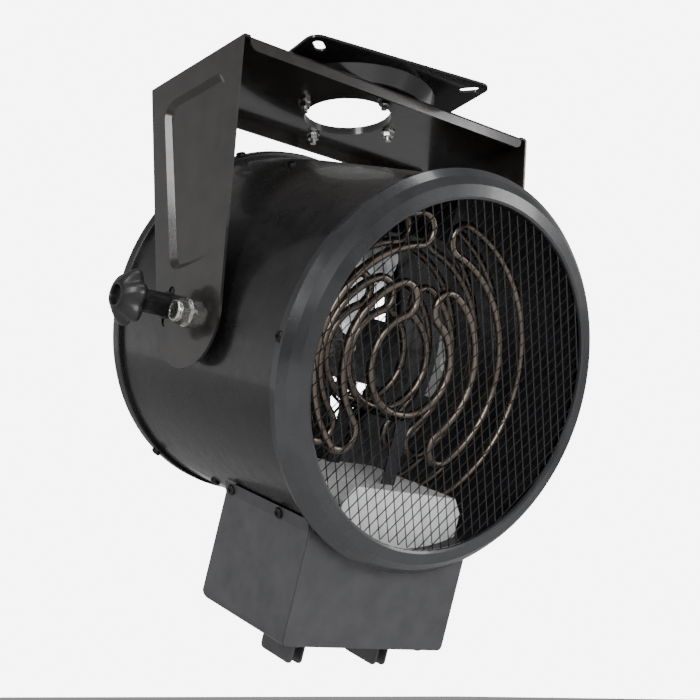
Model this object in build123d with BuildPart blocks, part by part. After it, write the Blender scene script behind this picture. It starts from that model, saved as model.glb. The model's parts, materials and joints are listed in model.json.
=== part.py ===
from build123d import *
from math import cos, radians, sin, sqrt
import os

# Ceiling-hung forced-air electric heater.
# Millimetres, +Z up.  Origin: centre of the ceiling plate's top face.
# The drum blows towards -Y and is stored tilted nose-down.

# ---- ceiling plate and swivel -------------------------------------------
PLATE_SIDE = 166.0
PLATE_T = 2.0
PLATE_CORNER_R = 10.0
PLATE_TURN = -7.6           # the plate stands slightly askew of the yoke
SLOT_PITCH_R = 98.5         # ceiling slots lie along the diagonals
SLOT_LENGTH = 16.0
SLOT_WIDTH = 8.0
DISH_TOP_R = 70.0           # pressed dish under the plate
DISH_BOTTOM_R = 62.5
DISH_HOLE_R = 49.58
DISH_DROP = 13.4            # ceiling to the dish's underside
SPACER_R = 49.5             # turns in the dish's hole
SWIVEL_RING_R = 57.6
SWIVEL_RING_T = 2.0
CENTRE_HOLE_R = 35.0        # clear way through ring, spacer and web
SWIVEL_SCREW_R = 44.0       # pitch radius of the four swivel screws
CLEAR = 0.1                 # between faces that slide or meet

# ---- yoke ---------------------------------------------------------------
YOKE_HALF_WIDTH = 147.3     # outer faces of the arms
YOKE_T = 2.0
YOKE_BEND_R = 3.0
WEB_HALF_DEPTH = 59.5
FLANGE_HALF_LENGTH = 140.0
FLANGE_DROP = 10.7
FLANGE_CORNER_R = 7.0
ARM_END_R = 39.5
PANEL_TOP = 34.6            # pressed panel in each arm, below the ceiling
PANEL_BOTTOM = 170.6
PANEL_TOP_HALF = 40.5
PANEL_BOTTOM_HALF = 24.5
PANEL_DEPTH = 3.5
PANEL_SLOPE = 4.5
PANEL_CORNER_R = 12.0

# ---- tilt ---------------------------------------------------------------
PIVOT_DROP = 206.0          # ceiling to the tilt axis
REST_TILT = 21.3            # nose-down angle as stored
TILT_MAX = 40.0             # steepest nose-down; the least is level
STUD_PITCH_R = 29.5         # lock stud's distance from the tilt axis
STUD_REST_ANGLE = 23.0      # above the horizontal, behind the pivot
STUD_R = 4.0
SLOT_R = 4.3
BOLT_R = 5.0
PIVOT_CLEAR = 0.06
KNOB_R = 21.0
KNOB_LOBES = 6
HUB_R = 8.5
KNOB_BACK = 27.0            # back of the knob's rim, out from the arm
KNOB_TIP = 43.0

# ---- drum ---------------------------------------------------------------
SHELL_R = 139.0
SHELL_T = 1.0
SHELL_FRONT = 119.0         # ahead of the tilt axis
SHELL_REAR = 113.6          # behind it
LINER_R = 130.0
LINER_T = 0.8
LINER_FRONT = 117.0
LINER_REAR = 26.0
BEZEL_R = 145.0
BEZEL_FRONT = 127.0
BEZEL_HOLE_R = 124.4
BEZEL_CREASE_R = 134.9
SKIRT_R = 141.2
SKIRT_BACK = 102.6
RIM_R = 142.3
RIM_FRONT = 105.0
RIM_BACK = 115.2
RIM_HOLE_R = 130.0
BEZEL_SCREW_AT = 106.6      # ahead of the tilt axis
RIM_SCREW_AT = 109.2        # behind it

# ---- guard mesh ---------------------------------------------------------
MESH_SHORT = 27.0           # a coarse stand-in: three diamonds of the real mesh to one here
MESH_LONG = 43.5
MESH_STRAND = 2.6
MESH_T = 1.2
MESH_TURN = -8.2
MESH_R = 132.0
MESH_AT = 122.7             # back face, ahead of the tilt axis

# ---- heating elements ---------------------------------------------------
TUBE_R = 3.25
RINGS = (37.5, 62.5, 87.5, 111.0)
INNER_GAP = 26.3            # degrees from the vertical to each hairpin
LOWER_GAP = 41.0
OUTER_GAP = 12.5
TUBE_END = 27.0
ELEMENT_AT = {"front": 76.6, "middle": 49.6, "rear": 22.6}
COVER_FRONT = 105.6         # terminal cover on the drum's floor
COVER_REAR = 8.0
COVER_TOP = 88.2            # below the drum's axis
COVER_TOP_HALF = 48.0
COVER_HALF = 56.0
COVER_SHOULDER = 99.0
COVER_T = 1.0

# ---- fan and motor ------------------------------------------------------
FAN_R = 102.0
FAN_BLADES = 5
BLADE_PITCH = 62.0
BLADE_CHORD = 60.0
FAN_MIDDLE = 43.0           # behind the tilt axis
HUB_LENGTH = 26.0
FAN_HUB_R = 19.0
SHAFT_R = 4.0
BRACKET_AT = 60.0
BRACKET_LEGS = (26.5, 153.5, 206.5, 333.5)   # clock angles
LEG_SCREW_AT = 41.0
MOTOR_R = 37.0
MOTOR_FRONT = 62.2
MOTOR_BACK = 105.0

# ---- control box --------------------------------------------------------
BOX_HALF = 75.6
BOX_BOTTOM = 205.6          # below the drum's axis
BOX_FRONT = 102.2           # ahead of the tilt axis
BOX_REAR = 5.0              # behind it
BOX_FOLD = 125.0
BOX_LIP_TOP = 116.0
BOX_T = 1.2
BOX_BEND_R = 4.0
BOX_CHAMFER = 5.0
PANEL_T = 1.1
LIP_LEAN = 19.6             # degrees the upper lips lean outwards
LIP_SCREWS_AT = (-66.0, -4.0)
REAR_PANEL_INSET = 5.5
WIRE_HOLE_AT = 55.0
FOOT_X = 40.0
FOOT_WIDTH = 10.5
FOOT_DROP = 21.4
FOOT_FRONT = 78.0
FOOT_REAR = 40.0
DIAL_X = 37.0
DIAL_DROP = 162.0
LAMP_DROP = 148.0
RESET_DROP = 168.0
GLAND_DROP = 189.0
LAMP_R = 5.0
GLAND_R = 8.0
GLAND_BORE_R = 5.0

# ---- frames -------------------------------------------------------------
# FACE: x right, y up, offset towards the front.  SIDE: x rearward, y up, offset to the right.
# FLOOR: x right, y rearward, offset upwards.  ARM: upright, x to +Y, y to +Z, offset to the right.
TILT = radians(REST_TILT)
PIVOT = Vector(0, 0, -PIVOT_DROP)
REARWARD = Vector(0, cos(TILT), sin(TILT))
UPWARD = Vector(0, -sin(TILT), cos(TILT))
DRUM_AXIS = Axis(PIVOT, REARWARD)
FACE = Plane(origin=PIVOT, x_dir=(1, 0, 0), z_dir=REARWARD * -1)
SIDE = Plane(origin=PIVOT, x_dir=REARWARD, z_dir=(1, 0, 0))
FLOOR = Plane(origin=PIVOT, x_dir=(1, 0, 0), z_dir=UPWARD)
ARM = Plane(origin=PIVOT, x_dir=(0, 1, 0), z_dir=(1, 0, 0))
WEB_TOP = DISH_DROP + CLEAR
SIDES = (-1, 1)
SIXTHS = range(0, 360, 60)
BELOW = (Align.CENTER, Align.CENTER, Align.MAX)
HUNG = (Align.CENTER, Align.MAX)
STOOD = (Align.CENTER, Align.MIN)
ABOVE = (Align.CENTER, Align.CENTER, Align.MIN)

os.makedirs("parts", exist_ok=True)


def save(builder, label):
    """Label a finished piece and write it."""
    builder.part.label = label
    export_step(builder.part, "parts/" + label + ".step")


def on_drum(x, back, up):
    """A point given across, rearward and up in the tilted drum's own frame."""
    return PIVOT + Vector(x, 0, 0) + REARWARD * back + UPWARD * up


def outward(clock, back, radius):
    """A plane on a cylinder about the drum's axis, facing out, at a clock angle from its top."""
    out = Vector(sin(radians(clock)), 0, 0) + UPWARD * cos(radians(clock))
    return Plane(origin=PIVOT + REARWARD * back + out * radius, x_dir=REARWARD, z_dir=out)


def box_lip(side, back):
    """A plane on a leaning upper lip of the control box, facing out."""
    lean = radians(LIP_LEAN)
    out = Vector(side * cos(lean), 0, 0) - UPWARD * sin(lean)
    origin = on_drum(side * (BOX_HALF + 4.5 * sin(lean)), back, 4.5 * cos(lean) - BOX_FOLD)
    return Plane(origin=origin, x_dir=REARWARD, z_dir=out)


def arm_plane(side, y, z, out):
    """A plane parallel to an arm's outer face, facing away from the drum."""
    origin = PIVOT + Vector(side * (YOKE_HALF_WIDTH + out), y, z)
    return Plane(origin=origin, x_dir=(0, side, 0), z_dir=(side, 0, 0))


def drill(planes, radius, depth):
    """Cut round holes down from planes, starting a little above them."""
    for plane in planes:
        with Locations(plane.offset(1)):
            Cylinder(radius, depth + 1, align=BELOW, mode=Mode.SUBTRACT)


def barrel(radius, wall, front, rear):
    """A plain tube about the drum's axis."""
    with BuildSketch(FACE.offset(front)) as ring:
        Circle(radius)
        Circle(radius - wall, mode=Mode.SUBTRACT)
    extrude(ring.sketch, amount=-(front + rear))


stud_y = STUD_PITCH_R * cos(radians(STUD_REST_ANGLE))
stud_z = STUD_PITCH_R * sin(radians(STUD_REST_ANGLE))
bezel_screw_planes = [outward(a + 31, -BEZEL_SCREW_AT, SKIRT_R) for a in SIXTHS]
rim_screw_planes = [outward(a + 33, RIM_SCREW_AT, RIM_R) for a in SIXTHS]
leg_screw_planes = [outward(a, LEG_SCREW_AT, SHELL_R) for a in BRACKET_LEGS]
lip_screw_planes = [box_lip(side, back) for side in SIDES for back in LIP_SCREWS_AT]
floor_screw_planes = [
    Plane(origin=on_drum(side * 58, back, -BOX_BOTTOM), x_dir=REARWARD, z_dir=UPWARD * -1)
    for side in SIDES
    for back in (-93, -9)
]
pivot_planes = [arm_plane(s, 0, 0, 0) for s in SIDES]
stud_planes = [arm_plane(s, stud_y, stud_z, 0) for s in SIDES]

# ---- standard hardware, copied into groups ------------------------------
def m4_screw(shank):
    """A pan-head cross-recess screw, head up, its seat on the origin."""
    with BuildPart() as screw:
        Cylinder(4.0, 2.6, align=ABOVE)
        fillet(screw.edges().sort_by(Axis.Z)[-1], 1.6)
        with BuildSketch(Plane.XY.offset(2.6)):
            Rectangle(4.4, 1.0)
            Rectangle(1.0, 4.4)
        extrude(amount=-1.4, mode=Mode.SUBTRACT)
        Cylinder(1.95, shank, align=BELOW)
    return screw.part


long_screw = m4_screw(6.0)
short_screw = m4_screw(3.2)

with BuildPart() as m5_screw:
    Cylinder(4.8, 3.0, align=ABOVE)
    fillet(m5_screw.edges().sort_by(Axis.Z)[-1], 1.8)
    Cylinder(2.45, 15.0, align=BELOW)

with BuildPart() as m5_nut:
    with BuildSketch():
        RegularPolygon(4.0, 6, major_radius=False)
        Circle(2.55, mode=Mode.SUBTRACT)
    extrude(amount=4.0)
    with BuildSketch():
        Circle(5.4)
        Circle(2.55, mode=Mode.SUBTRACT)
    extrude(amount=-1.0)

with BuildPart() as lock_nut:
    with BuildSketch():
        RegularPolygon(8.3, 6, major_radius=False)
    extrude(amount=7.6)
    with BuildSketch(Plane.XY.offset(7.6)):
        Circle(7.6)
    extrude(amount=2.6)
    fillet(lock_nut.edges().sort_by(Axis.Z)[-1], 1.6)
    Hole(BOLT_R + 0.05)

# ---- ceiling plate and swivel -------------------------------------------
with BuildPart() as ceiling_plate:
    with BuildSketch(Plane.XY.rotated((0, 0, PLATE_TURN))):
        RectangleRounded(PLATE_SIDE, PLATE_SIDE, PLATE_CORNER_R)
        Circle(DISH_TOP_R, mode=Mode.SUBTRACT)
        with PolarLocations(SLOT_PITCH_R, 4, start_angle=45):
            SlotOverall(SLOT_LENGTH, SLOT_WIDTH, mode=Mode.SUBTRACT)
    extrude(amount=-PLATE_T)
    with BuildSketch(Plane.XZ):
        with BuildLine():
            Polyline(
                (DISH_TOP_R + 1, 0),
                (DISH_TOP_R - 1.5, 0),
                (DISH_BOTTOM_R - 2.2, PLATE_T - DISH_DROP),
                (DISH_HOLE_R, PLATE_T - DISH_DROP),
                (DISH_HOLE_R, -DISH_DROP),
                (DISH_BOTTOM_R, -DISH_DROP),
                (DISH_TOP_R, -PLATE_T),
                (DISH_TOP_R + 1, -PLATE_T),
                close=True,
            )
        make_face()
    revolve(axis=Axis.Z)
save(ceiling_plate, "ceiling_plate")

with BuildPart() as swivel_spacer:
    with BuildSketch(Plane.XY.offset(-WEB_TOP)):
        Circle(SPACER_R)
        Circle(CENTRE_HOLE_R, mode=Mode.SUBTRACT)
        with PolarLocations(SWIVEL_SCREW_R, 4):
            Circle(2.6, mode=Mode.SUBTRACT)
    extrude(amount=PLATE_T + 2 * CLEAR)
save(swivel_spacer, "swivel_spacer")

ring_bottom = WEB_TOP - PLATE_T - 2 * CLEAR
with BuildPart() as swivel_ring:
    with BuildSketch(Plane.XY.offset(-ring_bottom)):
        Circle(SWIVEL_RING_R)
        Circle(CENTRE_HOLE_R, mode=Mode.SUBTRACT)
        with PolarLocations(SWIVEL_SCREW_R, 4):
            Circle(2.6, mode=Mode.SUBTRACT)
    extrude(amount=SWIVEL_RING_T)
save(swivel_ring, "swivel_ring")

with BuildPart() as swivel_screws:
    with Locations(Plane.XY.offset(SWIVEL_RING_T - ring_bottom)):
        with PolarLocations(SWIVEL_SCREW_R, 4):
            add(m5_screw.part)
save(swivel_screws, "swivel_screws")

with BuildPart() as swivel_nuts:
    under_web = Plane(origin=(0, 0, -WEB_TOP - YOKE_T - 1.0), x_dir=(1, 0, 0), z_dir=(0, 0, -1))
    with Locations(under_web):
        with PolarLocations(SWIVEL_SCREW_R, 4):
            add(m5_nut.part)
save(swivel_nuts, "swivel_nuts")

# ---- yoke ---------------------------------------------------------------
with BuildPart() as yoke:
    # bent strip, trimmed to the arms' outline: hull of the web's edge and the round end
    with BuildSketch(Plane.XZ) as strip:
        with Locations((0, -WEB_TOP)):
            Rectangle(2 * YOKE_HALF_WIDTH, 260, align=HUNG)
        fillet(strip.vertices().group_by(Axis.Y)[-1], YOKE_BEND_R)
        with Locations((0, -WEB_TOP - YOKE_T)):
            Rectangle(2 * (YOKE_HALF_WIDTH - YOKE_T), 260, align=HUNG, mode=Mode.SUBTRACT)
    extrude(amount=WEB_HALF_DEPTH, both=True)
    with BuildSketch(ARM):
        Circle(ARM_END_R)
        with Locations((0, PIVOT_DROP - WEB_TOP - 1)):
            Rectangle(2 * WEB_HALF_DEPTH, 2)
        make_hull()
    extrude(amount=YOKE_HALF_WIDTH, both=True, mode=Mode.INTERSECT)
    # web with its two turned-down edges
    with Locations((0, 0, -WEB_TOP)):
        Box(2 * FLANGE_HALF_LENGTH, 2 * WEB_HALF_DEPTH, YOKE_T, align=BELOW, mode=Mode.SUBTRACT)
    with BuildSketch(Plane.YZ) as channel:
        with Locations((0, -WEB_TOP)):
            Rectangle(2 * WEB_HALF_DEPTH, FLANGE_DROP, align=HUNG)
        fillet(channel.vertices().group_by(Axis.Y)[-1], YOKE_BEND_R)
        with Locations((0, -WEB_TOP - YOKE_T)):
            Rectangle(2 * (WEB_HALF_DEPTH - YOKE_T), FLANGE_DROP, align=HUNG, mode=Mode.SUBTRACT)
    extrude(amount=FLANGE_HALF_LENGTH, both=True)
    fillet(yoke.edges().filter_by(Axis.Y).group_by(Axis.Z)[0], FLANGE_CORNER_R)
    with BuildSketch(Plane.XY.offset(-WEB_TOP)):
        Circle(CENTRE_HOLE_R)
        with PolarLocations(SWIVEL_SCREW_R, 4):
            Circle(2.6)
    extrude(amount=-YOKE_T, mode=Mode.SUBTRACT)
    # pressed panels
    panel_height = PANEL_BOTTOM - PANEL_TOP
    for side in SIDES:
        for grow, start, mode in ((1.2, -YOKE_T, Mode.ADD), (0.0, 0.0, Mode.SUBTRACT)):
            for inset, depth in ((0.0, start), (PANEL_SLOPE, start - PANEL_DEPTH)):
                with BuildSketch(arm_plane(side, 0, PIVOT_DROP - PANEL_BOTTOM, depth)) as outline:
                    Polygon(
                        (-PANEL_BOTTOM_HALF - grow + inset, inset - grow),
                        (PANEL_BOTTOM_HALF + grow - inset, inset - grow),
                        (PANEL_TOP_HALF + grow - inset, panel_height - inset + grow),
                        (-PANEL_TOP_HALF - grow + inset, panel_height - inset + grow),
                        align=None,
                    )
                    fillet(outline.vertices(), PANEL_CORNER_R - inset)
            loft(mode=mode)
    drill(pivot_planes, BOLT_R + PIVOT_CLEAR, YOKE_T + 1)
    low = STUD_REST_ANGLE - REST_TILT - 1.0
    slot_ends = [(low + share * (TILT_MAX + 2.0)) for share in (0, 0.5, 1)]
    slot_rays = [(cos(radians(angle)), sin(radians(angle))) for angle in slot_ends]
    for side in SIDES:
        with BuildSketch(ARM.offset(side * YOKE_HALF_WIDTH)):
            Circle(STUD_PITCH_R + SLOT_R)
            Circle(STUD_PITCH_R - SLOT_R, mode=Mode.SUBTRACT)
            Polygon((0, 0), *[(60 * c, 60 * s) for c, s in slot_rays], align=None, mode=Mode.INTERSECT)
            with Locations(*[(STUD_PITCH_R * c, STUD_PITCH_R * s) for c, s in slot_rays[::2]]):
                Circle(SLOT_R)
        extrude(amount=-side * (YOKE_T + 1), mode=Mode.SUBTRACT)
save(yoke, "yoke")

# ---- tilt pivots and lock knobs ------------------------------------------
bolt_head_out = SHELL_R - SHELL_T - 2.5 - YOKE_HALF_WIDTH
with BuildPart() as pivot_bolts:
    for side in SIDES:
        with Locations(arm_plane(side, 0, 0, bolt_head_out)):
            Cylinder(8.0, 3.6, align=BELOW)
            Cylinder(BOLT_R, 11.6 - bolt_head_out, align=ABOVE)
save(pivot_bolts, "pivot_bolts")

with BuildPart() as pivot_nuts:
    with Locations(*[arm_plane(s, 0, 0, 1.7) for s in SIDES]):
        add(lock_nut.part)
save(pivot_nuts, "pivot_lock_nuts")

with BuildPart() as pivot_washers:
    with Locations(*[arm_plane(s, 0, 0, CLEAR) for s in SIDES]):
        Cylinder(10.5, 1.5, align=ABOVE)
        Cylinder(BOLT_R + 0.1, 1.5, align=ABOVE, mode=Mode.SUBTRACT)
save(pivot_washers, "pivot_washers")

with BuildPart() as doublers:
    barrel(SHELL_R - SHELL_T - 0.1, 1.9, 22, 46)
    for side in SIDES:
        with Locations(on_drum(0, 0, side * 95)):
            Box(400, 400, 130, rotation=(REST_TILT, 0, 0), mode=Mode.SUBTRACT)
    drill(pivot_planes, BOLT_R + 0.05, 30)
    drill(stud_planes, STUD_R + 0.05, 30)
save(doublers, "pivot_doublers")

spacer_out = -YOKE_T - 0.15
with BuildPart() as pivot_spacers:
    with Locations(*[arm_plane(s, 0, 0, spacer_out) for s in SIDES]):
        Cylinder(12.0, 9.0, align=BELOW)
        Cylinder(BOLT_R + 0.05, 9.0, align=BELOW, mode=Mode.SUBTRACT)
    with BuildSketch(FACE.offset(60)) as inside:
        Circle(SHELL_R + 0.02)
    extrude(inside.sketch, amount=-120, mode=Mode.SUBTRACT)
save(pivot_spacers, "pivot_spacers")

with BuildPart() as stud_spacers:
    with Locations(*[arm_plane(s, stud_y, stud_z, spacer_out) for s in SIDES]):
        Cylinder(9.0, 12.0, align=BELOW)
        Cylinder(STUD_R + 0.05, 12.0, align=BELOW, mode=Mode.SUBTRACT)
    with BuildSketch(FACE.offset(80)) as inside:
        Circle(SHELL_R + 0.02)
    extrude(inside.sketch, amount=-160, mode=Mode.SUBTRACT)
save(stud_spacers, "stud_spacers")

stud_head_out = bolt_head_out - 0.8
with BuildPart() as lock_studs:
    for side in SIDES:
        with Locations(arm_plane(side, stud_y, stud_z, stud_head_out)):
            Cylinder(6.5, 2.6, align=BELOW)
            Cylinder(STUD_R, KNOB_BACK + 6.0 - stud_head_out, align=ABOVE)
save(lock_studs, "lock_studs")

for side, name in ((-1, "tilt_knob_left"), (1, "tilt_knob_right")):
    with BuildPart() as knob:
        base = arm_plane(side, stud_y, stud_z, 1.7)
        with BuildSketch(base):
            Circle(HUB_R)
        extrude(amount=KNOB_BACK - 1.7)
        with Locations(base.offset(KNOB_BACK - 1.7)):
            Cylinder(KNOB_R, 5.0, align=ABOVE)
        with Locations(base.offset(KNOB_BACK + 3.3)):
            Cone(KNOB_R - 0.6, 10.5, KNOB_TIP - KNOB_BACK - 5.0, align=ABOVE)
        with BuildSketch(base.offset(KNOB_BACK - 2)):
            with PolarLocations(KNOB_R + 3.4, KNOB_LOBES, start_angle=0):
                Circle(5.6)
        extrude(amount=20, mode=Mode.SUBTRACT)
        with BuildSketch(base.offset(KNOB_TIP - 1.7)):
            Circle(7.2)
        extrude(amount=-5.0, mode=Mode.SUBTRACT)
        with BuildSketch(base):
            Circle(STUD_R + 0.05)
        extrude(amount=KNOB_BACK + 5.0, mode=Mode.SUBTRACT)
    save(knob, name)

with BuildPart() as knob_washers:
    with Locations(*[arm_plane(s, stud_y, stud_z, CLEAR) for s in SIDES]):
        Cylinder(10.0, 1.5, align=ABOVE)
        Cylinder(STUD_R + 0.1, 1.5, align=ABOVE, mode=Mode.SUBTRACT)
save(knob_washers, "knob_washers")

# ---- drum: shell, liner, bezel -------------------------------------------
with BuildPart() as drum_shell:
    barrel(SHELL_R, SHELL_T, SHELL_FRONT, SHELL_REAR)
    drill(pivot_planes, BOLT_R + 0.05, 16)
    drill(stud_planes, STUD_R + 0.05, 16)
    drill(bezel_screw_planes + rim_screw_planes, 2.0, 8)
    drill(leg_screw_planes, 2.0, 4)
    drill([outward(180, -WIRE_HOLE_AT, SHELL_R)], 8.0, 4)
save(drum_shell, "drum_shell")

with BuildPart() as inner_liner:
    barrel(LINER_R, LINER_T, LINER_FRONT, LINER_REAR)
    drill([outward(180, -WIRE_HOLE_AT, LINER_R)], 9.0, 4)
save(inner_liner, "inner_liner")

with BuildPart() as liner_spacers:
    for back in (-98, 14):
        for angle in SIXTHS:
            with Locations(outward(angle + 1, back, SHELL_R - SHELL_T - 0.15)):
                Cylinder(4.0, SHELL_R - SHELL_T - LINER_R - 0.2, align=BELOW)
save(liner_spacers, "liner_spacers")

with BuildPart() as front_bezel:
    with BuildSketch(SIDE):
        with BuildLine():
            Polyline(
                (-SKIRT_BACK, SHELL_R + 0.1),
                (-SKIRT_BACK, SKIRT_R - 0.6),
                (-SKIRT_BACK - 0.6, SKIRT_R),
                (-110.7, SKIRT_R),
                (-112.6, BEZEL_R),
                (-114.6, BEZEL_R),
                (-120.6, 140.3),
                (-125.5, BEZEL_CREASE_R),
                (-BEZEL_FRONT, BEZEL_HOLE_R + 2.2),
                (0.7 - BEZEL_FRONT, BEZEL_HOLE_R + 0.4),
                (2.0 - BEZEL_FRONT, BEZEL_HOLE_R),
                (3.0 - BEZEL_FRONT, BEZEL_HOLE_R),
                (3.0 - BEZEL_FRONT, BEZEL_HOLE_R + 1.0),
                (2.2 - BEZEL_FRONT, BEZEL_HOLE_R + 1.0),
                (1.1 - BEZEL_FRONT, BEZEL_HOLE_R + 2.6),
                (-124.5, BEZEL_CREASE_R - 0.4),
                (-119.9, 139.5),
                (-114.3, BEZEL_R - 1.0),
                (-113.1, BEZEL_R - 1.0),
                (-111.1, SKIRT_R - 1.0),
                (-SKIRT_BACK - 1.2, SKIRT_R - 1.0),
                (-SKIRT_BACK - 0.8, SHELL_R + 0.1),
                close=True,
            )
        make_face()
    revolve(axis=DRUM_AXIS)
    drill(bezel_screw_planes, 2.0, 4)
save(front_bezel, "front_bezel")

with BuildPart() as bezel_screws:
    with Locations(*bezel_screw_planes):
        add(long_screw)
save(bezel_screws, "bezel_screws")

with BuildPart() as front_mesh:
    turn = radians(MESH_TURN)
    along = Vector(cos(turn), 0, 0) + UPWARD * sin(turn)
    with BuildSketch(Plane(origin=on_drum(0, -MESH_AT, 0), x_dir=along, z_dir=REARWARD * -1)):
        Circle(MESH_R)
        half_w = MESH_SHORT / 2 - MESH_STRAND * 0.62
        half_h = MESH_LONG / 2 - MESH_STRAND
        for row in range(-5, 6):
            shift = MESH_SHORT / 2 * (row % 2)
            reach = sqrt(MESH_R ** 2 - (abs(row) * MESH_LONG / 2 + 4) ** 2) - MESH_SHORT / 2 - 1
            spots = [(c * MESH_SHORT + shift, row * MESH_LONG / 2) for c in range(-6, 6)]
            spots = [spot for spot in spots if abs(spot[0]) < reach]
            if spots:
                with Locations(*spots):
                    Polygon((half_w, 0), (0, half_h), (-half_w, 0), (0, -half_h), mode=Mode.SUBTRACT)
    extrude(amount=MESH_T)
save(front_mesh, "front_mesh")

# ---- heating elements ----------------------------------------------------
def ring_point(radius, clock):
    """A point on a ring, seen from the front, clock angle from the top."""
    return (radius * sin(radians(clock)), radius * cos(radians(clock)))


def ring_arc(radius, start, end):
    """Part of a ring between two clock angles."""
    middle = (start + end) / 2
    ThreePointArc(ring_point(radius, start), ring_point(radius, middle), ring_point(radius, end))


def hairpin(outer, inner, clock, towards):
    """A half-round bend joining two rings, bulging towards a larger or smaller clock angle."""
    middle = (outer + inner) / 2
    along = Vector(cos(radians(clock)), -sin(radians(clock))) * towards * (outer - inner) / 2
    tip = Vector(*ring_point(middle, clock)) + along
    ThreePointArc(ring_point(outer, clock), (tip.X, tip.Y), ring_point(inner, clock))


for position, at in ELEMENT_AT.items():
    with BuildPart() as element:
        with BuildLine(FACE.offset(at)) as run:
            r1, r2, r3, r4 = RINGS
            for turn in (1, -1):
                ring_arc(r4, turn * (180 - TUBE_END), turn * OUTER_GAP)
                hairpin(r4, r3, turn * OUTER_GAP, -turn)
                ring_arc(r3, turn * OUTER_GAP, turn * (180 - LOWER_GAP))
                hairpin(r3, r2, turn * (180 - LOWER_GAP), turn)
                ring_arc(r2, turn * (180 - LOWER_GAP), turn * INNER_GAP)
                hairpin(r2, r1, turn * INNER_GAP, -turn)
            ring_arc(r1, INNER_GAP, 360 - INNER_GAP)
        path = run.wires()[0]
        with BuildSketch(Plane(origin=path @ 0, z_dir=path % 0)):
            Circle(TUBE_R)
        sweep(path=path)
    save(element, "heating_element_" + position)

enter_clock = 180 - 30.4
bush_planes = []
for turn in (1, -1):
    for at in ELEMENT_AT.values():
        spot = ring_point(RINGS[3], turn * enter_clock)
        tangent = Vector(turn * cos(radians(enter_clock)), 0, 0) - UPWARD * sin(radians(enter_clock))
        bush_planes.append(Plane(origin=on_drum(spot[0], -at, spot[1]), z_dir=tangent * -1))

cover_outline = (
    (-COVER_HALF, -140),
    (COVER_HALF, -140),
    (COVER_HALF, -COVER_SHOULDER),
    (COVER_TOP_HALF, -COVER_TOP),
    (-COVER_TOP_HALF, -COVER_TOP),
    (-COVER_HALF, -COVER_SHOULDER),
)
with BuildPart() as terminal_cover:
    with BuildSketch(FACE.offset(COVER_FRONT)):
        Polygon(*cover_outline, align=None)
        Circle(LINER_R - LINER_T - 0.1, mode=Mode.INTERSECT)
    extrude(amount=COVER_REAR - COVER_FRONT)
    with BuildSketch(FACE.offset(COVER_FRONT - COVER_T)) as hollow:
        Polygon(*cover_outline, align=None)
        offset(amount=-COVER_T)
    extrude(hollow.sketch, amount=COVER_REAR - COVER_FRONT + 2 * COVER_T, mode=Mode.SUBTRACT)
    for plane in bush_planes:
        with Locations(plane):
            Cylinder(5.6, 12, mode=Mode.SUBTRACT)
save(terminal_cover, "terminal_cover")

with BuildPart() as terminal_bushes:
    with Locations(*bush_planes):
        Cylinder(5.5, 7.0)
        Cylinder(TUBE_R + 0.16, 7.0, mode=Mode.SUBTRACT)
save(terminal_bushes, "terminal_bushes")

with BuildPart() as element_hanger:
    with Locations(Location(on_drum(0, -49.6, LINER_R - LINER_T - 0.5), (REST_TILT, 0, 0))):
        Box(14, 70, 1.2, align=BELOW)
        Box(1.2, 70, 36, align=BELOW)
    for at in ELEMENT_AT.values():
        with Locations(Location(on_drum(0, -at + TUBE_R + 0.8, 97), (REST_TILT, 0, 0))):
            Box(28, 1.2, 9)
save(element_hanger, "element_hanger")

stand_top = -RINGS[0] - TUBE_R - 0.1
with BuildPart() as element_stand:
    with Locations(Location(on_drum(0, -49.6, stand_top), (REST_TILT, 0, 0))):
        Box(16, 68, 1.4, align=BELOW)
    for back in (-83.0, -16.2):
        with Locations(Location(on_drum(0, back, stand_top), (REST_TILT, 0, 0))):
            Box(12, 1.4, COVER_TOP + stand_top - 0.1, align=BELOW)
save(element_stand, "element_stand")

# ---- rear rim, guard, motor and fan ---------------------------------------
with BuildPart() as rear_rim:
    with BuildSketch(SIDE):
        with BuildLine():
            Polyline(
                (RIM_FRONT, SHELL_R + 0.1),
                (RIM_FRONT, RIM_R - 0.8),
                (RIM_FRONT + 0.8, RIM_R),
                (RIM_BACK - 1.6, RIM_R),
                (RIM_BACK, RIM_R - 1.6),
                (RIM_BACK, RIM_HOLE_R),
                (RIM_BACK - 1.0, RIM_HOLE_R),
                (RIM_BACK - 1.0, RIM_R - 2.0),
                (RIM_BACK - 2.0, RIM_R - 1.0),
                (RIM_FRONT + 1.4, RIM_R - 1.0),
                (RIM_FRONT + 1.0, SHELL_R + 0.1),
                close=True,
            )
        make_face()
    revolve(axis=DRUM_AXIS)
    drill(rim_screw_planes, 2.0, 6)
save(rear_rim, "rear_rim")

with BuildPart() as rim_screws:
    with Locations(*rim_screw_planes):
        add(long_screw)
save(rim_screws, "rim_screws")

with BuildPart() as rear_guard:
    for radius in range(24, 133, 18):
        with Locations(FACE.offset(-111.6)):
            Torus(radius, 1.2)
    with Locations(FACE.offset(-111.6)):
        Torus(134.2, 1.6)
    for angle in range(0, 360, 30):
        with Locations(outward(angle, 110.4, 134.2)):
            Cylinder(1.5, 112, align=BELOW)
save(rear_guard, "rear_guard")

with BuildPart() as motor_bracket:
    with BuildSketch(FACE.offset(-BRACKET_AT)):
        Circle(MOTOR_R + 9)
        Circle(14, mode=Mode.SUBTRACT)
    extrude(amount=-1.5)
    for clock in BRACKET_LEGS:
        with Locations(outward(clock, BRACKET_AT + 0.75, SHELL_R - SHELL_T - 0.5)):
            Box(1.5, 16, 96, align=BELOW)
        with Locations(outward(clock, LEG_SCREW_AT + 6.0, SHELL_R - SHELL_T - 0.5)):
            Box(29, 16, 1.5, align=BELOW)
    drill(leg_screw_planes, 2.0, 6)
save(motor_bracket, "motor_bracket")

with BuildPart() as bracket_screws:
    with Locations(*leg_screw_planes):
        add(long_screw)
save(bracket_screws, "bracket_screws")

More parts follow.
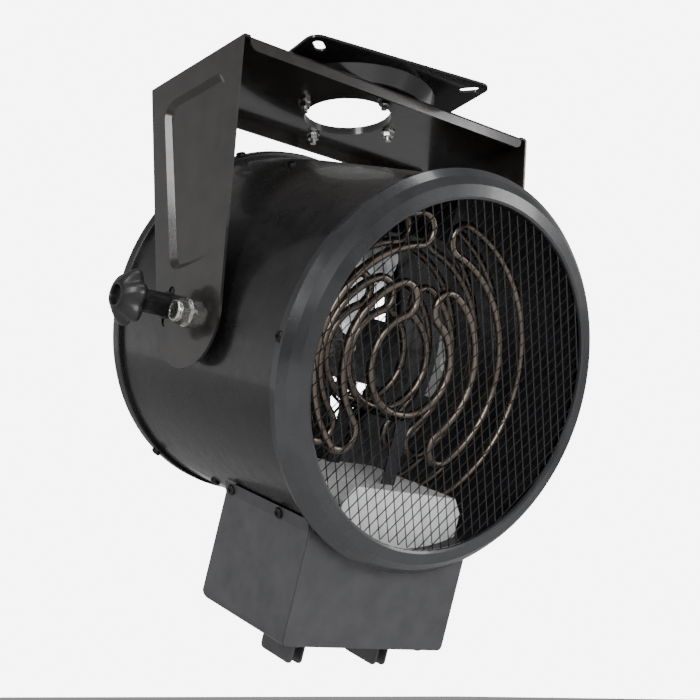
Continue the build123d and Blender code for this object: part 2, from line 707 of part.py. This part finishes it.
with BuildPart() as motor:
    with BuildSketch(FACE.offset(-MOTOR_FRONT)):
        Circle(MOTOR_R)
    extrude(amount=MOTOR_FRONT - MOTOR_BACK)
    fillet(motor.edges().filter_by(GeomType.CIRCLE), 5)
    with BuildSketch(FACE.offset(-MOTOR_FRONT + 3)):
        Circle(11)
    extrude(amount=-6)
    with BuildSketch(FACE.offset(-MOTOR_FRONT + 4)):
        Circle(SHAFT_R + 0.06)
    extrude(amount=-36, mode=Mode.SUBTRACT)
save(motor, "motor_body")

with BuildPart() as shaft:
    with BuildSketch(FACE.offset(14 - FAN_MIDDLE)):
        Circle(SHAFT_R)
    extrude(amount=14 - FAN_MIDDLE + 93 - 29)
save(shaft, "motor_shaft")

with BuildPart() as impeller:
    with BuildSketch(FACE.offset(HUB_LENGTH / 2 - FAN_MIDDLE)):
        Circle(FAN_HUB_R)
    extrude(amount=-HUB_LENGTH)
    fillet(impeller.edges().filter_by(GeomType.CIRCLE).sort_by(DRUM_AXIS)[0], 3)
    for blade in range(FAN_BLADES):
        root = outward(blade * 360 / FAN_BLADES + 20, FAN_MIDDLE, FAN_HUB_R - 4)
        chord = root.x_dir * cos(radians(BLADE_PITCH)) + root.y_dir * sin(radians(BLADE_PITCH))
        blade_face = Plane(origin=root.origin, x_dir=root.z_dir, z_dir=root.z_dir.cross(chord))
        with BuildSketch(blade_face) as outline:
            Rectangle(FAN_R - FAN_HUB_R + 3.6, BLADE_CHORD, align=(Align.MIN, Align.CENTER))
            fillet(outline.vertices().group_by(Axis.X)[-1], 20)
        extrude(outline.sketch, amount=0.7, both=True)
    with BuildSketch(FACE.offset(-20)) as envelope:
        Circle(FAN_R)
    extrude(envelope.sketch, amount=-45, mode=Mode.INTERSECT)
    with BuildSketch(FACE.offset(-20)) as bore:
        Circle(SHAFT_R + 0.05)
    extrude(bore.sketch, amount=-45, mode=Mode.SUBTRACT)
save(impeller, "fan_impeller")

with BuildPart() as fan_nut:
    with BuildSketch(FACE.offset(HUB_LENGTH / 2 - FAN_MIDDLE + 0.1)):
        RegularPolygon(7.0, 6, major_radius=False)
        Circle(SHAFT_R + 0.05, mode=Mode.SUBTRACT)
    extrude(amount=6.0)
save(fan_nut, "fan_nut")

# ---- control box -----------------------------------------------------------
lean_x = (BOX_FOLD - BOX_LIP_TOP) * sin(radians(LIP_LEAN)) / cos(radians(LIP_LEAN))
with BuildPart() as box_wrapper:
    with BuildSketch(FACE.offset(BOX_FRONT - PANEL_T)):
        with BuildLine():
            Polyline(
                (-BOX_HALF - lean_x, -BOX_LIP_TOP),
                (-BOX_HALF, -BOX_FOLD),
                (-BOX_HALF, -BOX_BOTTOM),
                (BOX_HALF, -BOX_BOTTOM),
                (BOX_HALF, -BOX_FOLD),
                (BOX_HALF + lean_x, -BOX_LIP_TOP),
                (BOX_HALF + lean_x - BOX_T, -BOX_LIP_TOP - 0.4),
                (BOX_HALF - BOX_T, -BOX_FOLD),
                (BOX_HALF - BOX_T, -BOX_BOTTOM + BOX_T),
                (-BOX_HALF + BOX_T, -BOX_BOTTOM + BOX_T),
                (-BOX_HALF + BOX_T, -BOX_FOLD),
                (-BOX_HALF - lean_x + BOX_T, -BOX_LIP_TOP - 0.4),
                close=True,
            )
        make_face()
    extrude(amount=PANEL_T - BOX_FRONT - BOX_REAR)
    lower_bends = box_wrapper.edges().filter_by(Axis(PIVOT, REARWARD)).sort_by(Axis(PIVOT, UPWARD))
    fillet(lower_bends[:2], BOX_BEND_R)
    fillet(lower_bends[2:4], BOX_BEND_R - BOX_T)
    with BuildSketch(SIDE.offset(-BOX_HALF - 1)) as corner:
        Polygon(
            (BOX_REAR + 1, -BOX_BOTTOM + BOX_CHAMFER),
            (BOX_REAR, -BOX_BOTTOM + BOX_CHAMFER),
            (BOX_REAR - BOX_CHAMFER, -BOX_BOTTOM),
            (BOX_REAR - BOX_CHAMFER, -BOX_BOTTOM - 1),
            (BOX_REAR + 1, -BOX_BOTTOM - 1),
            align=None,
        )
    extrude(corner.sketch, amount=2 * BOX_HALF + 2, mode=Mode.SUBTRACT)
    drill(lip_screw_planes, 2.0, 4)
    drill(floor_screw_planes, 2.0, 4)
save(box_wrapper, "box_wrapper")

panel_half = BOX_HALF - BOX_T - 0.15
panel_floor = BOX_BOTTOM - BOX_T - 0.15
for name, front, depth, face_half, face_floor in (
    ("box_front_panel", BOX_FRONT, 14.0, BOX_HALF - 0.3, BOX_BOTTOM - 0.3),
    ("box_rear_panel", REAR_PANEL_INSET - BOX_REAR, -14.0, panel_half, panel_floor),
):
    sign = 1 if depth > 0 else -1
    with BuildPart() as panel:
        with BuildSketch(FACE.offset(front)) as face:
            with Locations((0, -face_floor)):
                Rectangle(2 * face_half, 110, align=STOOD)
            fillet(face.vertices().group_by(Axis.Y)[0], BOX_BEND_R)
            Circle(SHELL_R + 0.4, mode=Mode.SUBTRACT)
        extrude(face.sketch, amount=-sign * PANEL_T)
        with BuildSketch(FACE.offset(front)) as hem:
            with Locations((0, -panel_floor)):
                Rectangle(2 * panel_half, 80, align=STOOD)
            fillet(hem.vertices().group_by(Axis.Y)[0], BOX_BEND_R - BOX_T)
            with Locations((0, -panel_floor + PANEL_T)):
                Rectangle(2 * panel_half - 2 * PANEL_T, 90, align=STOOD, mode=Mode.SUBTRACT)
        extrude(hem.sketch, amount=-depth)
        drill(floor_screw_planes, 2.0, 6)
        if sign < 0:
            with BuildSketch(FACE.offset(front + 1)) as holes:
                with Locations((-DIAL_X, -DIAL_DROP), (DIAL_X, -DIAL_DROP)):
                    Circle(4.0)
                with Locations((0, -LAMP_DROP)):
                    Circle(LAMP_R + 0.1)
                with Locations((0, -RESET_DROP)):
                    Circle(6.1)
                with Locations((0, -GLAND_DROP)):
                    Circle(GLAND_R + 0.1)
            extrude(holes.sketch, amount=-4, both=True, mode=Mode.SUBTRACT)
    save(panel, name)

with BuildPart() as box_screws:
    with Locations(*lip_screw_planes, *floor_screw_planes):
        add(short_screw)
save(box_screws, "box_screws")

for side, name in ((-1, "foot_left"), (1, "foot_right")):
    with BuildPart() as foot:
        spot = on_drum(side * FOOT_X, -(FOOT_FRONT + FOOT_REAR) / 2, -BOX_BOTTOM - 0.05)
        with Locations(Location(spot, (REST_TILT, 0, 0))):
            Box(FOOT_WIDTH, FOOT_FRONT - FOOT_REAR, FOOT_DROP, align=BELOW)
        fillet(foot.edges().filter_by(Axis.X).sort_by(Axis(PIVOT, UPWARD))[:2], 4)
        spot = on_drum(side * FOOT_X, -(FOOT_FRONT + FOOT_REAR) / 2, -BOX_BOTTOM - 1.55)
        with Locations(Location(spot, (REST_TILT, 0, 0))):
            Box(FOOT_WIDTH - 3, FOOT_FRONT - FOOT_REAR + 2, FOOT_DROP, align=BELOW, mode=Mode.SUBTRACT)
    save(foot, name)

# ---- controls on the box's rear panel ---------------------------------------
# REAR: x to the right seen from the front, y up, offset rearward out of the panel
REAR = Plane(origin=on_drum(0, BOX_REAR - REAR_PANEL_INSET, 0), x_dir=(-1, 0, 0), z_dir=REARWARD)
inside_panel = -PANEL_T - 0.1
for name, x, width, height, depth in (
    ("thermostat_body", DIAL_X, 34, 30, 26),
    ("selector_switch", -DIAL_X, 28, 28, 24),
):
    with BuildPart() as control:
        with BuildSketch(REAR.offset(inside_panel)):
            with Locations((x, -DIAL_DROP)):
                Rectangle(width, height)
        extrude(amount=-depth)
        with BuildSketch(REAR.offset(inside_panel)):
            with Locations((x, -DIAL_DROP)):
                Circle(3.0)
        extrude(amount=10)
    save(control, name)

for name, x in (("thermostat_knob", DIAL_X), ("selector_knob", -DIAL_X)):
    with BuildPart() as dial:
        with BuildSketch(REAR.offset(0.4)):
            with Locations((x, -DIAL_DROP)):
                Circle(16.0)
        extrude(amount=3.0, taper=12)
        with BuildSketch(REAR.offset(3.4)):
            with Locations((x, -DIAL_DROP)):
                Circle(12.0)
        extrude(amount=11.0, taper=4)
        with BuildSketch(REAR.offset(3.4)):
            with Locations((x, -DIAL_DROP)):
                SlotOverall(30, 6, rotation=90)
        extrude(amount=9.0)
        with BuildSketch(REAR.offset(0.4)):
            with Locations((x, -DIAL_DROP)):
                Circle(3.05)
        extrude(amount=9.2, mode=Mode.SUBTRACT)
    save(dial, name)

with BuildPart() as pilot_lamp:
    with BuildSketch(REAR.offset(-16)):
        with Locations((0, -LAMP_DROP)):
            Circle(LAMP_R)
    extrude(amount=20)
    fillet(pilot_lamp.edges().filter_by(GeomType.CIRCLE).sort_by(DRUM_AXIS)[-1], 2.5)
    with BuildSketch(REAR.offset(0.1)):
        with Locations((0, -LAMP_DROP)):
            Circle(LAMP_R + 2)
            Circle(LAMP_R - 1, mode=Mode.SUBTRACT)
    extrude(amount=1.4)
save(pilot_lamp, "pilot_lamp")

with BuildPart() as limit_switch:
    with BuildSketch(REAR.offset(inside_panel)):
        with Locations((0, -RESET_DROP)):
            Circle(8.0)
            Circle(4.05, mode=Mode.SUBTRACT)
    extrude(amount=-12)
    with BuildSketch(REAR.offset(inside_panel)):
        with Locations((0, -RESET_DROP)):
            Circle(6.0)
            Circle(4.05, mode=Mode.SUBTRACT)
    extrude(amount=4.0)
    with BuildSketch(REAR.offset(inside_panel - 12)):
        with Locations((0, -RESET_DROP)):
            Rectangle(20, 16)
    extrude(amount=-10)
save(limit_switch, "limit_switch")

with BuildPart() as reset_button:
    with BuildSketch(REAR.offset(inside_panel - 9)):
        with Locations((0, -RESET_DROP)):
            Circle(4.0)
    extrude(amount=9 + 7.0)
    fillet(reset_button.edges().filter_by(GeomType.CIRCLE).sort_by(DRUM_AXIS)[-1], 1.2)
save(reset_button, "reset_button")

with BuildPart() as gland:
    with BuildSketch(REAR.offset(inside_panel - 6)):
        with Locations((0, -GLAND_DROP)):
            Circle(GLAND_R)
    extrude(amount=6 - inside_panel + 12)
    with BuildSketch(REAR.offset(0.1)):
        with Locations((0, -GLAND_DROP)):
            RegularPolygon(11.0, 6, major_radius=False)
    extrude(amount=5)
    with BuildSketch(REAR.offset(5.1)):
        with Locations((0, -GLAND_DROP)):
            Circle(9.8)
    extrude(amount=11, taper=6)
    with BuildSketch(REAR.offset(30)):
        with Locations((0, -GLAND_DROP)):
            Circle(GLAND_BORE_R)
    extrude(amount=-50, mode=Mode.SUBTRACT)
save(gland, "cable_gland")

with BuildPart() as gland_nut:
    with BuildSketch(REAR.offset(inside_panel)):
        with Locations((0, -GLAND_DROP)):
            RegularPolygon(11.0, 6, major_radius=False)
            Circle(GLAND_R + 0.05, mode=Mode.SUBTRACT)
    extrude(amount=-4.5)
save(gland_nut, "gland_nut")

# ---- wiring inside the box ----------------------------------------------------
with BuildPart() as grommet:
    with BuildSketch(SIDE):
        with BuildLine():
            Polyline(
                (-WIRE_HOLE_AT + 5.6, -SHELL_R + SHELL_T + 1.6),
                (-WIRE_HOLE_AT + 10.4, -SHELL_R + SHELL_T + 1.6),
                (-WIRE_HOLE_AT + 10.4, -SHELL_R + SHELL_T + 0.5),
                (-WIRE_HOLE_AT + 7.9, -SHELL_R + SHELL_T + 0.5),
                (-WIRE_HOLE_AT + 7.9, -SHELL_R - 0.3),
                (-WIRE_HOLE_AT + 10.4, -SHELL_R - 0.3),
                (-WIRE_HOLE_AT + 10.4, -SHELL_R - 2.2),
                (-WIRE_HOLE_AT + 5.6, -SHELL_R - 2.2),
                close=True,
            )
        make_face()
    revolve(axis=Axis(on_drum(0, -WIRE_HOLE_AT, 0), UPWARD))
save(grommet, "wiring_grommet")

with BuildPart() as terminal_block:
    with Locations(Location(on_drum(0, -WIRE_HOLE_AT, -BOX_BOTTOM + BOX_T + 0.1), (REST_TILT, 0, 0))):
        Box(64, 24, 14, align=ABOVE)
        with GridLocations(12, 0, 5, 1):
            with Locations((0, 0, 10)):
                Box(9, 26, 4.2, align=ABOVE, mode=Mode.SUBTRACT)
save(terminal_block, "terminal_block")

with BuildPart() as leads:
    for x, back in ((-2.4, -2.4), (2.4, -2.4), (0, 2.4)):
        foot = on_drum(x, -WIRE_HOLE_AT + back, -BOX_BOTTOM + BOX_T + 10.3)
        with Locations(Plane(origin=foot, x_dir=(1, 0, 0), z_dir=UPWARD)):
            Cylinder(1.6, 86, align=ABOVE)
save(leads, "internal_leads")
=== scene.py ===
import bpy
import json
from math import cos, pi, radians, sin
from mathutils import Matrix, Vector


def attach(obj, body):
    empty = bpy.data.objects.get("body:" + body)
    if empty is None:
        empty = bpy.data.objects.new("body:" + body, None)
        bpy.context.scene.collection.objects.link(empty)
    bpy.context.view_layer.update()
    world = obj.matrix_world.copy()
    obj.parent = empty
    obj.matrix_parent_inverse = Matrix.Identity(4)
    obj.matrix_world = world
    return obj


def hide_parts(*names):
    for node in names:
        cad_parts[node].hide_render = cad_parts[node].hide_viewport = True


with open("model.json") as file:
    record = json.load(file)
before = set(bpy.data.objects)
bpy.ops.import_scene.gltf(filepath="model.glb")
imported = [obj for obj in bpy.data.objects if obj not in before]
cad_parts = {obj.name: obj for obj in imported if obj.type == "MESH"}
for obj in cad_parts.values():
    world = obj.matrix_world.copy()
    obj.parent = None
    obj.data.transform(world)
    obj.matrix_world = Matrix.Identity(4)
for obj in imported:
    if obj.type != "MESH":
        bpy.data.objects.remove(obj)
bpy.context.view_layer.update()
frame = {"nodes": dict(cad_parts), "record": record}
nodes = frame["nodes"]

MM = 0.001
TILT = radians(21.3)
PIVOT_Z = -206
PIVOT = Vector((0, 0, PIVOT_Z)) * MM
REARWARD = Vector((0, cos(TILT), sin(TILT)))
UPWARD = Vector((0, -sin(TILT), cos(TILT)))


# ---- small helpers ---------------------------------------------------------
def linear(code):
    """An sRGB hex colour as linear RGBA."""
    out = []
    for i in (0, 2, 4):
        v = int(code[i:i + 2], 16) / 255
        out.append(v / 12.92 if v <= 0.04045 else ((v + 0.055) / 1.055) ** 2.4)
    return (*out, 1.0)


def on_drum(x, back, up):
    """A point across, rearward and up in the tilted drum's frame, in millimetres."""
    return PIVOT + Vector((x, 0, 0)) * MM + REARWARD * back * MM + UPWARD * up * MM


def frame_at(origin, x_axis, z_axis):
    """A matrix placing local X and Z along the given directions."""
    z = Vector(z_axis).normalized()
    x = (Vector(x_axis) - z * Vector(x_axis).dot(z)).normalized()
    y = z.cross(x)
    m = Matrix((x, y, z)).transposed().to_4x4()
    m.translation = origin
    return m


def only(obj):
    """Select one object and make it active."""
    bpy.ops.object.select_all(action="DESELECT")
    obj.select_set(True)
    bpy.context.view_layer.objects.active = obj


def settle(obj, name, matrix=None, angle=30):
    """Name a finished piece, put it in place and clear its transform."""
    obj.name = name
    obj.data.name = name
    only(obj)
    if matrix is not None:
        obj.matrix_world = matrix
    bpy.ops.object.transform_apply(location=True, rotation=True, scale=True)
    bpy.ops.object.shade_smooth_by_angle(angle=radians(angle))
    return obj


def apply_all(obj):
    """Apply every modifier in order."""
    only(obj)
    for mod in list(obj.modifiers):
        bpy.ops.object.modifier_apply(modifier=mod.name)


# ---- materials -------------------------------------------------------------
DUST_GREY = "8d8a86"
SPANGLE_SCALE = 110.0
GRAIN_SCALE, GRAIN_DEPTH = 500.0, 0.0004


def add(tree, kind, **inputs):
    """A shader node with its sockets and properties set; a tuple (node, socket) links."""
    node = tree.nodes.new("ShaderNode" + kind)
    for key, value in inputs.items():
        key = key.replace("_", " ")
        if key.startswith("set "):
            setattr(node, key[4:].replace(" ", "_"), value)
            continue
        socket = node.inputs[int(key[2:])] if key.startswith("in") and key[2:].isdigit() else node.inputs[key]
        if isinstance(value, tuple) and len(value) == 2 and hasattr(value[0], "outputs"):
            tree.links.new(value[0].outputs[value[1]], socket)
        else:
            socket.default_value = value
    return node


def noise_band(tree, coord, scale, low, high, detail):
    """A noise field remapped to a range of values."""
    noise = add(tree, "TexNoise", Vector=(coord, "Object"), Scale=scale, Detail=detail)
    return add(tree, "MapRange", Value=(noise, "Fac"), From_Min=0.3, From_Max=0.7, To_Min=low, To_Max=high)


def surface(name, light, dark, rough, metallic=0.0, coat=0.0, scale=60.0,
            bump=0.0, transmission=0.0, spangle=0.0, dust=0.0):
    """Two-tone patchy colour, uneven roughness and a fine bump on one shader."""
    mat = bpy.data.materials.new(name)
    mat.use_nodes = True
    tree = mat.node_tree
    tree.nodes.clear()
    coord = add(tree, "TexCoord")
    patch = noise_band(tree, coord, scale, 0.0, 1.0, 6.0)
    mix = add(tree, "Mix", set_data_type="RGBA", in0=(patch, "Result"))
    mix.inputs[6].default_value = linear(dark)
    mix.inputs[7].default_value = linear(light)
    colour = (mix, 2)
    if spangle:
        cells = add(tree, "TexVoronoi", Vector=(coord, "Object"), Scale=SPANGLE_SCALE)
        bright = add(tree, "MapRange", Value=(cells, "Color"), From_Min=0.0, From_Max=1.0,
                     To_Min=1.0 - spangle, To_Max=1.0 + spangle * 0.5)
        hue = add(tree, "HueSaturation", Value=(bright, "Result"), Color=colour)
        colour = (hue, "Color")
    if dust:
        geo = add(tree, "NewGeometry")
        up = add(tree, "SeparateXYZ", Vector=(geo, "Normal"))
        amount = add(tree, "MapRange", Value=(up, "Z"), From_Min=0.5, From_Max=1.0, To_Min=0.0, To_Max=dust)
        veil = add(tree, "Mix", set_data_type="RGBA", in0=(amount, "Result"))
        tree.links.new(colour[0].outputs[colour[1]], veil.inputs[6])
        veil.inputs[7].default_value = linear(DUST_GREY)
        colour = (veil, 2)
    uneven = noise_band(tree, coord, scale * 1.7, rough * 0.8, min(1.0, rough * 1.25), 8.0)
    shader = add(tree, "BsdfPrincipled", Base_Color=colour, Roughness=(uneven, "Result"), Metallic=metallic)
    shader.inputs["Coat Weight"].default_value = coat
    shader.inputs["Coat Roughness"].default_value = 0.08
    shader.inputs["Transmission Weight"].default_value = transmission
    if bump:
        fine = add(tree, "TexNoise", Vector=(coord, "Object"), Scale=GRAIN_SCALE, Detail=3.0)
        relief = add(tree, "Bump", Height=(fine, "Fac"), Strength=bump, Distance=GRAIN_DEPTH)
        tree.links.new(relief.outputs["Normal"], shader.inputs["Normal"])
    add(tree, "OutputMaterial", Surface=(shader, "BSDF"))
    return mat


finish = {
    # glossy powder coat on the pressed ceiling plate
    "plate_black": surface("black_gloss_coat_plate", "1b1b1e", "121214", 0.2, coat=0.4, bump=0.08, dust=0.1),
    # the same coat on the bent yoke, a touch warmer
    "yoke_black": surface("black_gloss_coat_yoke", "2b2725", "1d1b1a", 0.2, coat=0.5, bump=0.06, dust=0.1),
    # semi-gloss powder coat on the rolled drum
    "drum_black": surface("black_semi_gloss_coat", "1d1b1c", "131213", 0.3, coat=0.3, bump=0.1, dust=0.15),
    # the spun front ring; its colour is a lighter copy of the black coat, painted light standing in for the
    # light on its front face
    "bezel_black": surface("black_semi_gloss_ring_painted_lighter", "313234", "202123", 0.24, coat=0.35, scale=30, bump=0.1),
    # folded control box, satin
    "box_black": surface("black_satin_coat_box", "47474a", "3c3c3e", 0.42, coat=0.1, bump=0.12),
    # inner liner, dull and heat-darkened; the same dark colour is also painted shade on the stand, hanger and
    # motor bracket inside the drum, which share this slot
    "liner_dark": surface("heat_dulled_liner_and_painted_shade", "2a272d", "19171b", 0.42, metallic=0.3, bump=0.1),
    # expanded steel guard
    "mesh_black": surface("black_coat_on_expanded_steel", "1a1a1b", "0f0f10", 0.28, coat=0.3, bump=0.1),
    # bright zinc plate on nuts, bolts, studs and spacers
    "zinc": surface("bright_zinc_plate", "dcdcd8", "b4b4b0", 0.24, metallic=1.0, scale=240, bump=0.05),
    # galvanised sheet, near white with little metal in it so that it reads bright in this light; the
    # near-white colour is a painted highlight standing in for the strong light on the sheet
    "galvanised": surface("galvanised_sheet", "fcfcfc", "eeeff0", 0.42, metallic=0.1, scale=90, spangle=0.12),
    # stainless element sheath, browned by heat
    "element_sheath": surface("heat_stained_stainless_sheath", "8a7f74", "5f564f", 0.3,
                              metallic=1.0, scale=9),
    # pressed aluminium fan
    "fan_aluminium": surface("plain_aluminium_sheet", "d7d9db", "bfc1c4", 0.36, metallic=1.0, scale=80),
    # unglazed steatite bushes
    "steatite": surface("unglazed_white_steatite", "ece7db", "d8d1c2", 0.6, bump=0.2),
    # satin enamel on the motor's shell
    "motor_black": surface("satin_black_enamel", "232427", "17181a", 0.45, bump=0.1),
    # black oxide screws
    "black_screws": surface("black_oxide", "262627", "161617", 0.3, metallic=0.5, bump=0.05),
    # black oxide washers under the knobs
    "black_washer": surface("black_oxide_washer", "3a3a3c", "262628", 0.35, metallic=0.6),
    # lock knob moulding, satin phenolic
    "knob_plastic": surface("satin_black_phenolic", "1d1d1f", "121213", 0.36, coat=0.1, bump=0.15),
    # switch and thermostat bodies
    "moulded_black": surface("black_moulding", "202021", "161617", 0.5, bump=0.15),
    # control dials
    "dial_black": surface("satin_black_dial", "232324", "171718", 0.4, bump=0.1),
    # pilot lamp lens
    "red_lens": surface("red_translucent_lens", "c6271c", "9a160f", 0.15, transmission=0.4, coat=0.3),
    # reset button
    "red_button": surface("red_moulding", "c22a20", "9f1c15", 0.3),
    # nylon cable gland
    "gland_nylon": surface("black_nylon", "1f1f20", "151516", 0.42, bump=0.1),
    # rubber grommet
    "grommet_rubber": surface("black_rubber", "1b1b1b", "121212", 0.7, bump=0.2),
    # ivory terminal block
    "terminal_ivory": surface("ivory_moulding", "e3dac4", "d3c9b0", 0.45),
    # silicone sleeving
    "lead_white": surface("white_silicone_sleeve", "e6e5e0", "d2d0c9", 0.5),
}

ROUND_SLOTS = ("element_sheath", "mesh_black")
SMOOTH_ROUND, SMOOTH_SHEET = 75, 35

for entry in frame["record"]["subparts"]:
    node = nodes[entry["node"]]
    node.data.materials.clear()
    node.data.materials.append(finish[entry["material_slot"]])
    only(node)
    round_wire = entry["material_slot"] in ROUND_SLOTS
    bpy.ops.object.shade_smooth_by_angle(angle=radians(SMOOTH_ROUND if round_wire else SMOOTH_SHEET))


def dress(obj, slot_name, body):
    """Give a new piece the material of its named slot and attach it to its body."""
    obj.data.materials.clear()
    obj.data.materials.append(finish[slot_name])
    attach(obj, body)
    return obj


# ---- expanded steel guard ----------------------------------------------------
CELL_SHORT, CELL_LONG, GUARD_R = 9.0, 14.5, 131.0
GUARD_BACK = -123.3
GUARD_TURN = radians(-8.2)
GRID_CELLS = 38
STRAND_T = 1.25
LEAN = 0.12
bpy.ops.object.select_all(action="DESELECT")
bpy.ops.mesh.primitive_grid_add(x_subdivisions=GRID_CELLS, y_subdivisions=GRID_CELLS, size=GRID_CELLS)
guard = bpy.context.object
bpy.ops.object.mode_set(mode="EDIT")
bpy.ops.mesh.select_all(action="SELECT")
bpy.ops.transform.rotate(value=radians(45), orient_axis="Z", center_override=(0, 0, 0))
bpy.ops.transform.resize(value=(CELL_SHORT / 2 ** 0.5, CELL_LONG / 2 ** 0.5, 1), center_override=(0, 0, 0))
bpy.ops.mesh.select_all(action="DESELECT")
bpy.ops.object.mode_set(mode="OBJECT")
for v in guard.data.vertices:
    v.select = v.co.length > GUARD_R - 1.0
bpy.ops.object.mode_set(mode="EDIT")
bpy.ops.mesh.delete(type="VERT")
bpy.ops.object.mode_set(mode="OBJECT")
wire = guard.modifiers.new("strands", "WIREFRAME")
wire.thickness = STRAND_T
wire.use_even_offset = False
wire.use_replace = True
apply_all(guard)
# expanded strands lean: each one is turned out of the sheet on its way from knot to knot
for v in guard.data.vertices:
    phase = sin(2 * pi * v.co.x / CELL_SHORT) * cos(2 * pi * v.co.y / CELL_LONG)
    v.co.z = v.co.z * 0.95 + LEAN * phase
across = Vector((cos(GUARD_TURN), 0, 0)) + UPWARD * sin(GUARD_TURN)
place = frame_at(on_drum(0, GUARD_BACK, 0), across, REARWARD * -1) @ Matrix.Scale(MM, 4)
settle(guard, "guard_mesh", place, 20)
dress(guard, "mesh_black", "drum")
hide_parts("front_mesh")

# ---- lock knobs ----------------------------------------------------------------
KNOB_PROFILE = (
    # out from the arm, radius, depth of the lobes
    (1.7, 8.4, 0), (2.2, 8.6, 0), (19.0, 8.4, 0), (22.5, 8.9, 0), (25.5, 11.5, 0.1), (27.2, 16.0, 0.55),
    (27.8, 18.8, 0.9), (28.8, 20.4, 1.0), (30.4, 21.0, 1.0), (32.2, 20.8, 1.0), (34.4, 19.6, 0.95),
    (36.8, 17.6, 0.8), (39.2, 14.9, 0.5), (41.2, 12.1, 0.2), (42.5, 9.8, 0.05), (43.0, 8.2, 0),
    (42.8, 7.5, 0), (42.0, 7.2, 0), (38.5, 7.0, 0),
)
KNOB_LOBES = 6
ARM_OUTSIDE = 147.3
STUD_R, STUD_ANGLE = 29.5, radians(23)
stud_spot = Vector((0, STUD_R * cos(STUD_ANGLE), STUD_R * sin(STUD_ANGLE) + PIVOT_Z)) * MM
for side, name, body in ((-1, "tilt_knob_left", "knob_left"), (1, "tilt_knob_right", "knob_right")):
    bpy.ops.object.select_all(action="DESELECT")
    bpy.ops.mesh.primitive_circle_add(vertices=120, radius=1.0, fill_type="NGON")
    knob = bpy.context.object
    bpy.ops.object.mode_set(mode="EDIT")
    for step in KNOB_PROFILE[1:]:
        bpy.ops.mesh.extrude_region_move(TRANSFORM_OT_translate={"value": (0, 0, 1)})
    bpy.ops.mesh.select_all(action="SELECT")
    bpy.ops.mesh.normals_make_consistent(inside=False)
    bpy.ops.object.mode_set(mode="OBJECT")
    for v in knob.data.vertices:
        out, radius, lobes = KNOB_PROFILE[min(len(KNOB_PROFILE) - 1, max(0, round(v.co.z)))]
        flat = Vector((v.co.x, v.co.y))
        bearing = flat.angle_signed(Vector((1, 0))) if flat.length > 0.01 else 0.0
        dip = 0.5 - 0.5 * cos(KNOB_LOBES * bearing)
        reach = radius - lobes * 3.6 * dip ** 1.4
        if flat.length > 0.01:
            flat = flat.normalized() * reach
        v.co = Vector((flat.x, flat.y, out))
    place = frame_at(stud_spot + Vector((side * ARM_OUTSIDE * MM, 0, 0)), (0, side, 0), (side, 0, 0))
    settle(knob, name + "_moulding", place @ Matrix.Scale(MM, 4), 40)
    dress(knob, "knob_plastic", body)
    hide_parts(name)

# ---- stage -----------------------------------------------------------------------
FLOOR_SIZE, FLOOR_Z = 60, -0.8
LIGHT_FROM_BELOW, LIGHT_FROM_ABOVE, BACKDROP = 1.5, 0.26, 7.0

bpy.ops.object.select_all(action="DESELECT")
bpy.ops.mesh.primitive_plane_add(size=FLOOR_SIZE, location=(0, 0, FLOOR_Z))
floor = bpy.context.object
floor.name = "studio_floor"
floor.data.materials.append(surface("pale_studio_floor", "f4f4f4", "f0f0f0", 0.8))

world = bpy.data.worlds.new("studio_surround")
bpy.context.scene.world = world
world.use_nodes = True
sky = world.node_tree
sky.nodes.clear()
# white where it is seen; as light, bright from the floor side and dim from above
heading = add(sky, "SeparateXYZ", Vector=(add(sky, "TexCoord"), "Generated"))
from_below = add(sky, "MapRange", Value=(heading, "Z"), From_Min=-0.5, From_Max=0.55,
                 To_Min=LIGHT_FROM_BELOW, To_Max=LIGHT_FROM_ABOVE)
seen = add(sky, "LightPath")
level = add(sky, "Mix", in0=(seen, "Is Camera Ray"), in2=(from_below, "Result"), in3=BACKDROP)
backdrop = add(sky, "Background", Color=(1, 1, 1, 1), Strength=(level, 0))
add(sky, "OutputWorld", Surface=(backdrop, "Background"))


def panel(name, spot, aim, width, height, watts):
    """A rectangular softbox."""
    bpy.ops.object.light_add(type="AREA", location=spot)
    lamp = bpy.context.object
    lamp.name = name
    lamp.data.shape = "RECTANGLE"
    lamp.data.size = width
    lamp.data.size_y = height
    lamp.data.energy = watts
    lamp.rotation_euler = (Vector(aim) - Vector(spot)).to_track_quat("-Z", "Y").to_euler()


panel("softbox_key", (-1.4, -0.5, 0.5), (0, 0, -0.2), 0.35, 1.2, 12)
panel("softbox_right", (1.2, -1.3, 0.1), (0, 0, -0.2), 0.3, 1.2, 8)
panel("softbox_top", (-0.2, -0.5, 1.3), (0, 0, -0.1), 1.2, 0.3, 7)
panel("softbox_low", (-0.5, -1.3, -0.2), (0, 0, -0.25), 0.7, 0.5, 9)

# ---- camera ------------------------------------------------------------------------
LENS, ROLL = 68.47, 0.005
SHIFT_X, SHIFT_Y = 0.0323, 0.0129
eye = Vector((-643.9, -759.2, -459.4)) * MM
aim = Vector((-19.7, 0, -219.2)) * MM
bpy.ops.object.camera_add(location=eye)
camera = bpy.context.object
camera.name = "camera"
look = (aim - eye).to_track_quat("-Z", "Y").to_matrix().to_4x4()
camera.matrix_world = Matrix.Translation(eye) @ look @ Matrix.Rotation(ROLL, 4, "Z")
camera.data.sensor_width = 36
camera.data.lens = LENS
camera.data.shift_x = SHIFT_X
camera.data.shift_y = SHIFT_Y
bpy.context.scene.camera = camera
